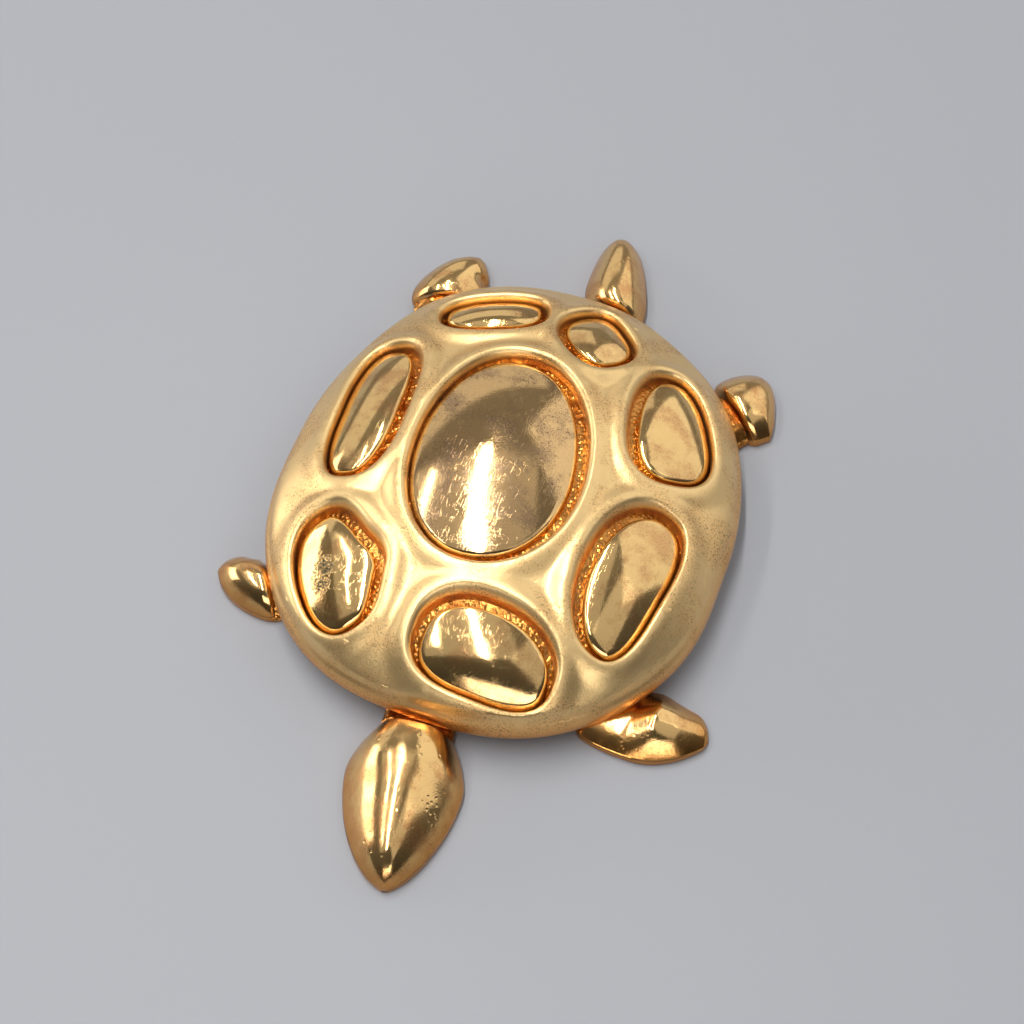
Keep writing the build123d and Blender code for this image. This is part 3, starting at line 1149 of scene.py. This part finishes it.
@dataclass(frozen=True)
class Limbs:
    """The polished head, flippers, legs and tail, each with its grained neck under the rim.

    Side is how high a limb's upright sides are, corner how far their edges are softened, and narrow how
    much of a limb's width its rounded root takes. Crowding sets how the rings lie along a limb, and
    full_share where its root's fullness has given way. A neck runs neck_reach in from its limb and
    neck_into it, and stays neck_drop under the limb's top.
    """

    form: ShellForm
    side: float = 0.6 * MM
    corner: float = 0.14 * MM
    narrow: float = 1.4
    across: int = 22
    rings: int = 40
    root_rings: int = 6
    crowding: float = 0.9
    full_share: float = 0.45
    neck_top: float = 1.65 * MM
    neck_floor: float = 0.05 * MM
    neck_share: float = 0.86
    neck_reach: float = 2.8 * MM
    neck_into: float = 0.45 * MM
    neck_drop: float = 0.4 * MM
    neck_cuts: int = 30
    pebble: float = 0.28 * MM
    relief: float = 0.14 * MM

    def build(self, finishes: Finishes) -> list[bpy.types.Object]:
        """Builds every limb and its neck.

        Args:
            finishes: The finishes.

        Returns:
            The objects.
        """
        made = []
        for limb in LIMBS:
            made.append(self.limb(limb, finishes.polished))
            made.append(self.neck(limb, finishes.grained))
        return made

    def top(self, share: float, height: float, fullness: float) -> float:
        """The height of a section's top at a share of the way out to its side."""
        side = min(self.side, height / 2)
        return side + (height - side) * (1 - abs(share) ** fullness)

    def section(self, width: float, height: float, fullness: float) -> list[tuple[float, float]]:
        """A section's outline: flat below, short upright sides with soft corners, an arch on top.

        Args:
            width: Its full width.
            height: Its full height.
            fullness: How flat its top is.

        Returns:
            Points across and up, from the middle of the underside round by the right side.
        """
        half = width / 2
        side = min(self.side, height / 2)
        soft = min(self.corner, side / 3, half / 4)
        right = [(0.0, 0.0), (half * 0.5, 0.0), (half - soft, 0.0), (half - soft * 0.3, soft * 0.3),
                 (half, soft), (half, side * 0.6), (half, side - soft * 0.4)]
        arch = []
        for k in range(self.across + 1):
            share = math.sin(math.pi / 2 * (1 - 2 * k / self.across))
            arch.append((half * share, self.top(share, height, fullness)))
        arch[0] = (half - soft * 0.25, side + soft * 0.25)
        arch[-1] = (soft * 0.25 - half, side + soft * 0.25)
        left = [(-x, z) for x, z in right[:0:-1]]
        return right + arch + left

    def limb(self, limb: Limb, material: bpy.types.Material) -> bpy.types.Object:
        """Builds one polished limb."""
        mesher = Mesher()
        stations = []
        for k in range(self.root_rings + 1):
            turn = math.pi / 2 * k / self.root_rings
            along = limb.round_off * (1 - math.cos(turn)) / limb.length
            stations.append((along, limb.round_off * (1 - math.sin(turn))))
        start = stations[-1][0]
        for k in range(1, self.rings + 1):
            stations.append((start + (1 - start) * (k / self.rings) ** self.crowding, 0.0))
        root, out = limb.fullness
        rings = []
        for share, inset in stations:
            share = min(1.0, share)
            spot, way = limb.place(self.form, share)
            width, height = limb.size(share)
            side = Vector((way.y, -way.x, 0))
            narrow = 1 - self.narrow * inset * MM / width
            lower = 1 - inset * MM / height
            fullness = root + (out - root) * smooth_step(share, 0.0, self.full_share)
            points = self.section(width, height, fullness)
            rings.append(([spot + side * x * narrow + Vector((0, 0, z * lower)) for x, z in points], None))
        for edges in mesher.sweep(rings):
            mesher.cap(edges)
        obj = mesher.finish(limb.name, self.form.centre(), material)
        return obj

    def neck(self, limb: Limb, material: bpy.types.Material) -> bpy.types.Object:
        """Builds the grained neck between the plate and one limb, lower than the limb's root."""
        mesher = Mesher()
        full, height = limb.size(0.0)
        width = full * self.neck_share
        length = limb.neck * MM + self.neck_reach
        spot, way = limb.place(self.form, 0.0)
        side = Vector((way.y, -way.x, 0))
        for vert in bmesh.ops.create_cube(mesher.bm, size=1.0)["verts"]:
            vert.co = Vector((vert.co.x + 0.5, vert.co.y, vert.co.z + 0.5))
        edges = mesher.bm.edges[:]
        bmesh.ops.subdivide_edges(mesher.bm, edges=edges, cuts=self.neck_cuts, use_grid_fill=True)
        for vert in mesher.bm.verts:
            u, v, w = vert.co
            arch = self.top(2 * v * self.neck_share, height, limb.fullness[0])
            top = min(self.neck_top, arch - self.neck_drop)
            place = spot + way * ((u - 1) * length + self.neck_into) + side * v * width
            crest = Vector((place.x, place.y, top))
            top += self.relief * (pebbles(crest, self.pebble) - 1)
            place.z = self.neck_floor + w * (top - self.neck_floor)
            # The sides are grained too, but not their lowest and highest rows, which join the other faces.
            if 0.05 < w < 0.999 and abs(v) > 0.499:
                grain = self.relief * (pebbles(place, self.pebble) - 1)
                place += side * math.copysign(grain, v)
            vert.co = place
        obj = mesher.finish("neck_" + limb.name, self.form.centre(), material)
        return obj


@dataclass(frozen=True)
class Softbox:
    """A soft rectangular light that faces the brooch.

    It is placed by its azimuth, from +X, and its elevation; along is the way, from +X, that its long
    side runs in plan, and radiance is how bright it looks in a mirror.
    """

    name: str
    azimuth: float
    elevation: float
    long: float
    wide: float
    radiance: float
    along: float
    distance: float = 400 * MM

    def build(self, target: Vector) -> None:
        """Builds the light.

        Args:
            target: The place that it faces.
        """
        data = bpy.data.lights.new(self.name, "AREA")
        data.shape = "RECTANGLE"
        data.size = self.long
        data.size_y = self.wide
        data.energy = self.radiance * math.pi * self.long * self.wide
        a = math.radians(self.azimuth)
        e = math.radians(self.elevation)
        away = Vector((math.cos(a) * math.cos(e), math.sin(a) * math.cos(e), math.sin(e)))
        run = heading(self.along)
        run = (run - away * run.dot(away)).normalized()
        light = bpy.data.objects.new(self.name, data)
        light.matrix_world = Matrix((run, away.cross(run), away)).transposed().to_4x4()
        light.location = target + away * self.distance
        light.visible_camera = False
        bpy.context.collection.objects.link(light)


SOFTBOXES = (
    Softbox("ceiling_strip", -172, 80.5, 0.50, 0.020, 36.0, -74),
    Softbox("side_strip", -170, 56.5, 0.36, 0.013, 22.0, -79),
    Softbox("ceiling", -165, 72, 0.50, 0.50, 0.34, 20),
    Softbox("left_window", 183, 12, 0.30, 0.15, 3.2, 93),
    Softbox("rear_wall", 130, 22, 0.46, 0.20, 0.5, 40),
    Softbox("right_wall", 50, 34, 0.50, 0.42, 0.78, -40),
    Softbox("front_right_wall", -14, 52, 0.30, 0.24, 0.46, 76),
    Softbox("front_window", -68, 26, 0.36, 0.11, 3.0, 22),
)


@dataclass(frozen=True)
class Studio:
    """A pale floor, soft light from above and behind, and the camera of the photograph.

    Dim and bright are how strong the faint light of the room is in front of the brooch and behind it.
    """

    form: ShellForm
    azimuth: float = 20.4
    elevation: float = 58.0
    distance: float = 158 * MM
    aim: tuple[float, float, float] = (0.3 * MM, -0.79 * MM, 2.5 * MM)
    lens: float = 77.97
    sensor: float = 36.0
    near: float = 0.01
    floor_half: float = 0.9
    floor_colour: str = "#999BA0"
    floor_roughness: float = 0.55
    room_colour: str = "#F8F6F4"
    dim: float = 0.06
    bright: float = 0.28

    def build(self) -> None:
        """Builds the floor, the lights and the camera."""
        self.floor()
        self.camera()
        self.world()
        for softbox in SOFTBOXES:
            softbox.build(self.target())
        bpy.context.scene.view_settings.view_transform = "Standard"

    def target(self) -> Vector:
        """What the camera looks at."""
        return self.form.centre() + Vector(self.aim)

    def floor(self) -> None:
        """The surface that the brooch lies on: smooth, pale, neutral grey."""
        tree = Tree(bpy.data.materials.new("pale_grey_surface"))
        tree.put(tree.nodes["Principled BSDF"], {"Base Color": linear(self.floor_colour),
                                                 "Roughness": self.floor_roughness})
        bm = bmesh.new()
        bmesh.ops.create_grid(bm, x_segments=1, y_segments=1, size=self.floor_half)
        mesh = bpy.data.meshes.new("surface")
        bm.to_mesh(mesh)
        bm.free()
        mesh.materials.append(tree.owner)
        obj = bpy.data.objects.new("surface", mesh)
        bpy.context.collection.objects.link(obj)
        obj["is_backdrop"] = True

    def camera(self) -> None:
        """The camera, turned and tilted as in the photograph."""
        a = math.radians(self.azimuth)
        e = math.radians(self.elevation)
        back = Vector((math.sin(a) * math.cos(e), -math.cos(a) * math.cos(e), math.sin(e)))
        data = bpy.data.cameras.new("photo_camera")
        data.lens = self.lens
        data.sensor_width = self.sensor
        data.clip_start = self.near
        camera = bpy.data.objects.new("photo_camera", data)
        camera.location = self.target() + back * self.distance
        camera.rotation_mode = "QUATERNION"
        camera.rotation_quaternion = (-back).to_track_quat("-Z", "Y")
        bpy.context.collection.objects.link(camera)
        bpy.context.scene.camera = camera

    def world(self) -> None:
        """A faint light from all round: dim in front of the brooch, brighter behind it."""
        world = bpy.data.worlds.new("room")
        bpy.context.scene.world = world
        tree = Tree(world)
        behind = Vector((-0.35, 0.85, 0.40)).normalized()
        toward = tree.add("VectorMath", (tree.add("TexCoord", out="Generated"), behind), "Value",
                          operation="DOT_PRODUCT")
        strength = tree.add("MapRange", (toward, -0.5, 0.9, self.dim, self.bright))
        tree.put(tree.nodes["Background"], {"Color": linear(self.room_colour), "Strength": strength})


class SizeNote:
    """The object's box as it was loaded, before the looks are built."""

    def __init__(self) -> None:
        """Reads the box of the frame as it was loaded."""
        self.before = self.read()

    def read(self) -> list[list[float]]:
        """The box now, as two plain lists."""
        low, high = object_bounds()
        return [list(low), list(high)]

    def write(self) -> None:
        """Writes both boxes."""
# Writes nothing; the boxes are not written.


@dataclass(frozen=True)
class PinFinding:
    """The plain pin finding in the hollow back, which keeps its CAD shape."""

    node: str = "pin_back"

    def dress(self, frame: dict, material: bpy.types.Material) -> None:
        """Gives the finding its finish.

        Args:
            material: The finish.
        """
        mesh = frame["nodes"][self.node].data
        mesh.materials.clear()
        mesh.materials.append(material)
        LOG.info("%s: finished in %s", self.node, material.name)


def main() -> None:
    """Builds the brooch's looks and its setting."""
    logging.basicConfig(level=logging.INFO, format="%(name)s: %(message)s")
    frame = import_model()
    sizes = SizeNote()
    form = ShellForm()
    finishes = Finishes.make(form)
    PiercedShell(form).build(finishes.satin)
    Scutes(form).build(finishes)
    BasePlate(form).build(finishes.grained)
    Limbs(form).build(finishes)
    PinFinding().dress(frame, finishes.finding)
    Studio(form).build()
    sizes.write()


if __name__ == "__main__":
    main()
